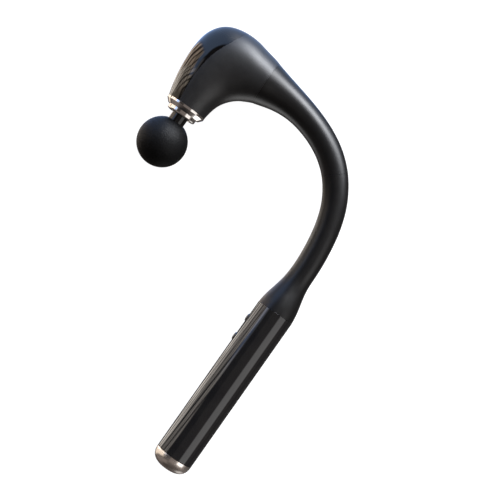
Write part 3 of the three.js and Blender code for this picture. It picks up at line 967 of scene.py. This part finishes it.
NEUTRAL = (1.0, 0.99, 0.98)
BROWN = (1.12, 0.95, 0.88)
WARM = (1.12, 0.92, 0.76)
SAND = (1.05, 0.96, 0.87)
DUSK = (1.08, 0.93, 0.78)
COOL = (0.6, 0.95, 1.75)
PALE = (0.9, 0.97, 1.15)
LAMP = (0.98, 1.0, 1.03)
LAMP_DIRECTION = studio_direction(38, 72)
# Colour, radiance, lattice, and the windows of direction of each part of the studio: tilt from
# straight up, bearing round it, turn about the grip's axis, slant along that axis and angle from
# the lamp, each as low edge, high edge and softness.
PANELS = [
    (BROWN, 0.05, False, []),
    (BROWN, 0.04, False, [("slant", -0.92, -0.3, 0.2)]),
    (BROWN, 0.1, False, [("turn", -140, -20, 20), ("slant", -0.92, -0.6, 0.1)]),
    (BROWN, 0.12, False, [("turn", -13, 96, 8), ("slant", -0.6, 1, 0.2)]),
    (NEUTRAL, 0.05, False, [("turn", 90, 150, 10)]),
    (COOL, 1.08, False, [("bearing", 45, 131, 5), ("tilt", 46, 190, 5)]),
    (COOL, 0.95, False, [("bearing", 131, 152, 5), ("tilt", 48, 62, 4), ("slant", -0.08, 1, 0.06)]),
    (PALE, 1.5, False, [("lamp", -30, 28, 44), ("tilt", 46, 120, 12)]),
    (LAMP, 28, False, [("bearing", 34, 62, 18), ("tilt", 45, 76, 18)]),
    (LAMP, 9, False, [("bearing", 10, 34, 14), ("tilt", 56, 84, 16)]),
    (WARM, 2.3, True, [("bearing", 131, 152, 3), ("tilt", 60, 190, 4), ("slant", -0.01, 1, 0.06)]),
    (SAND, 2.3, True, [("turn", -97, -47, 4), ("slant", -0.18, -0.01, 0.06)]),
    (SAND, 4.0, True, [("turn", -147, -97, 8), ("slant", -0.18, -0.01, 0.06)]),
    (DUSK, 0.9, False, [("turn", -150, -60, 12), ("slant", -0.48, -0.18, 0.08)]),
    (PALE, 0.8, False, [("turn", -47, -41, 3), ("slant", -0.06, 0.14, 0.06)]),
    (NEUTRAL, 1.75, False, [("turn", 36, 76, 9), ("slant", -0.36, 0, 0.08)]),
    (NEUTRAL, 1.1, False, [("turn", 36, 76, 9), ("slant", 0, 0.17, 0.08)]),
    (NEUTRAL, 0.5, False, [("bearing", -97, -76, 8), ("tilt", 103, 140, 10)]),
]
# Dark laths across the panels that hold the lattice: offset and half width, in degrees.
LATHS = [
    (-262, 5),
    (-236, 3),
    (-214, 6),
    (-190, 3),
    (-168, 7),
    (-141, 4),
    (-118, 7),
    (-96, 3),
    (-74, 3),
    (-52, 2.5),
    (-25, 6),
    (4, 5),
    (30, 5),
    (62, 6),
]
# How the laths lean between two slants: degrees for each unit of slant.
LATH_LEANS = [(-0.18, 0, -485), (0, 1, -130)]
LATH_DEPTH = 0.92
LATH_SOFT = 3.0
STREAK_TURN = 6.0
STREAK_SLANT = 2.0


class Studio:
    """World nodes that fill windows of direction with light."""

    def __init__(self):
        self.world = bpy.data.worlds.new("studio")
        bpy.context.scene.world = self.world
        self.world.use_nodes = True
        self.tree = self.world.node_tree
        self.tree.nodes.clear()
        direction = self.node("ShaderNodeTexCoord").outputs["Generated"]
        split = self.node("ShaderNodeSeparateXYZ")
        self.put(direction, split.inputs[0])
        x, y, z = split.outputs
        flat_right = self.along(direction, RIGHT)
        flat_up = self.along(direction, UPWARD)
        self.axes = {
            "bearing": self.degrees(self.math("ARCTAN2", flat_up, flat_right)),
            "tilt": self.degrees(self.math("ARCCOSINE", z)),
            "turn": self.degrees(self.math("ARCTAN2", x, z)),
            "slant": y,
            "lamp": self.degrees(
                self.math("ARCCOSINE", self.along(direction, LAMP_DIRECTION))
            ),
        }
        self.lattice = self.lattice_pattern()

    def node(self, kind, **settings):
        made = self.tree.nodes.new(kind)
        for key, value in settings.items():
            setattr(made, key, value)
        return made

    def put(self, value, socket):
        """Links an output to the socket, or sets the socket to a plain value."""
        if isinstance(value, bpy.types.NodeSocket):
            self.tree.links.new(value, socket)
        else:
            socket.default_value = value

    def math(self, operation, *values):
        made = self.node("ShaderNodeMath", operation=operation)
        for socket, value in zip(made.inputs, values):
            self.put(value, socket)
        return made.outputs[0]

    def degrees(self, value):
        return self.math("MULTIPLY", value, 180 / math.pi)

    def along(self, direction, axis):
        made = self.node("ShaderNodeVectorMath", operation="DOT_PRODUCT")
        self.put(direction, made.inputs[0])
        self.put(axis, made.inputs[1])
        return made.outputs["Value"]

    def window(self, value, low, high, soft):
        """1 between low and high, falling to 0 over soft on both sides."""
        masks = []
        for edge, sign in ((low, 1), (high, -1)):
            mapped = self.node("ShaderNodeMapRange", interpolation_type="SMOOTHSTEP")
            self.put(edge - sign * soft / 2, mapped.inputs["From Min"])
            self.put(edge + sign * soft / 2, mapped.inputs["From Max"])
            self.put(value, mapped.inputs["Value"])
            masks.append(mapped.outputs["Result"])
        return self.math("MULTIPLY", *masks)

    def lattice_pattern(self):
        """Leaning dark laths over soft streaks that run along the grip's axis."""
        place = self.node("ShaderNodeCombineXYZ")
        self.put(self.math("DIVIDE", self.axes["turn"], STREAK_TURN), place.inputs[0])
        self.put(self.math("MULTIPLY", self.axes["slant"], STREAK_SLANT), place.inputs[1])
        noise = self.node("ShaderNodeTexNoise")
        self.put(place.outputs[0], noise.inputs["Vector"])
        self.put(1.0, noise.inputs["Scale"])
        self.put(2.0, noise.inputs["Detail"])
        mapped = self.node("ShaderNodeMapRange")
        for key, number in (("From Min", 0.4), ("From Max", 0.6), ("To Min", 0.5)):
            self.put(number, mapped.inputs[key])
        self.put(1.3, mapped.inputs["To Max"])
        self.put(noise.outputs["Fac"], mapped.inputs["Value"])
        light = mapped.outputs["Result"]
        offset = self.axes["turn"]
        for low, high, lean in LATH_LEANS:
            slant = self.math("MINIMUM", self.math("MAXIMUM", self.axes["slant"], low), high)
            offset = self.math("MULTIPLY_ADD", slant, lean, offset)
        for centre, half in LATHS:
            shade = self.window(offset, centre - half, centre + half, LATH_SOFT)
            light = self.math(
                "MULTIPLY", light, self.math("MULTIPLY_ADD", shade, -LATH_DEPTH, 1.0)
            )
        return light

    def panel(self, colour, strength, latticed, windows):
        scale = strength
        for name, low, high, soft in windows:
            scale = self.math("MULTIPLY", self.window(self.axes[name], low, high, soft), scale)
        if latticed:
            scale = self.math("MULTIPLY", self.lattice, scale)
        glow = self.node("ShaderNodeVectorMath", operation="SCALE")
        self.put(colour, glow.inputs[0])
        self.put(scale, glow.inputs["Scale"])
        return glow.outputs[0]

    def build(self, panels):
        total = None
        for panel in panels:
            glow = self.panel(*panel)
            if total:
                add = self.node("ShaderNodeVectorMath", operation="ADD")
                self.put(total, add.inputs[0])
                self.put(glow, add.inputs[1])
                glow = add.outputs[0]
            total = glow
        # The camera sees plain white; sockets 4 and 5 and output 1 are the Mix node's vector ones.
        seen = self.node("ShaderNodeMix", data_type="VECTOR")
        path = self.node("ShaderNodeLightPath")
        self.put(path.outputs["Is Camera Ray"], seen.inputs[0])
        self.put(total, seen.inputs[4])
        self.put((1.0, 1.0, 1.0), seen.inputs[5])
        background = self.node("ShaderNodeBackground")
        self.put(seen.outputs[1], background.inputs["Color"])
        output = self.node("ShaderNodeOutputWorld")
        self.put(background.outputs[0], output.inputs["Surface"])


Studio().build(PANELS)

# A soft lamp in the bay of the hook, under the object, that lifts the underside of the head:
# place, target and size in millimetres, spread in degrees.
BAY_LAMP = (-94, 242, -44)
BAY_TARGET = (-110, 340, 0)
BAY_LAMP_SIZE = 70
BAY_RADIANCE = 0.8
BAY_SPREAD = 110
lamp_data = bpy.data.lights.new("bay lamp", "AREA")
lamp_data.size = BAY_LAMP_SIZE * MM
lamp_data.energy = BAY_RADIANCE * math.pi * lamp_data.size**2
lamp_data.spread = math.radians(BAY_SPREAD)
lamp = bpy.data.objects.new("bay_lamp", lamp_data)
lamp.location = point(*BAY_LAMP)
lamp.rotation_euler = (point(*BAY_TARGET) - lamp.location).to_track_quat("-Z", "Y").to_euler()
lamp.visible_camera = False
bpy.context.scene.collection.objects.link(lamp)

# The floor gives off its own pale light, and stays out of shadows and reflections, because the
# background is to be plain white without a shadow. Sizes in metres.
FLOOR_HALF = 3.0
FLOOR_HEIGHT = -0.0004
FLOOR_GLOW = 0.97
floor_mesh = bpy.data.meshes.new("floor")
floor_mesh.from_pydata(
    [
        (-FLOOR_HALF, -FLOOR_HALF, FLOOR_HEIGHT),
        (FLOOR_HALF, -FLOOR_HALF, FLOOR_HEIGHT),
        (FLOOR_HALF, FLOOR_HALF, FLOOR_HEIGHT),
        (-FLOOR_HALF, FLOOR_HALF, FLOOR_HEIGHT),
    ],
    [],
    [(0, 1, 2, 3)],
)
floor = bpy.data.objects.new("floor", floor_mesh)
bpy.context.scene.collection.objects.link(floor)
paint = Shader("floor paper", (0.14, 0.14, 0.14), 0.9)
paint.mottle(paint.noise(40, 2), (0.16, 0.16, 0.16))
paint.set("Emission Color", (1, 1, 1, 1))
paint.set("Emission Strength", FLOOR_GLOW)
floor_mesh.materials.append(paint.material)
floor.visible_glossy = False
floor.visible_diffuse = False
floor.visible_shadow = False

# Lens and sensor in millimetres, place in the frame in metres.
CAMERA_LENS = 91.4
CAMERA_SENSOR = 36
CAMERA_PLACE = (0.04188, 0.02469, 1.257)
camera_data = bpy.data.cameras.new("camera")
camera_data.lens = CAMERA_LENS
camera_data.sensor_width = CAMERA_SENSOR
camera = bpy.data.objects.new("camera", camera_data)
camera.location = CAMERA_PLACE
camera.rotation_euler = (0, 0, CAMERA_TURN)
bpy.context.scene.collection.objects.link(camera)
bpy.context.scene.camera = camera
bpy.context.scene.view_settings.view_transform = "Standard"
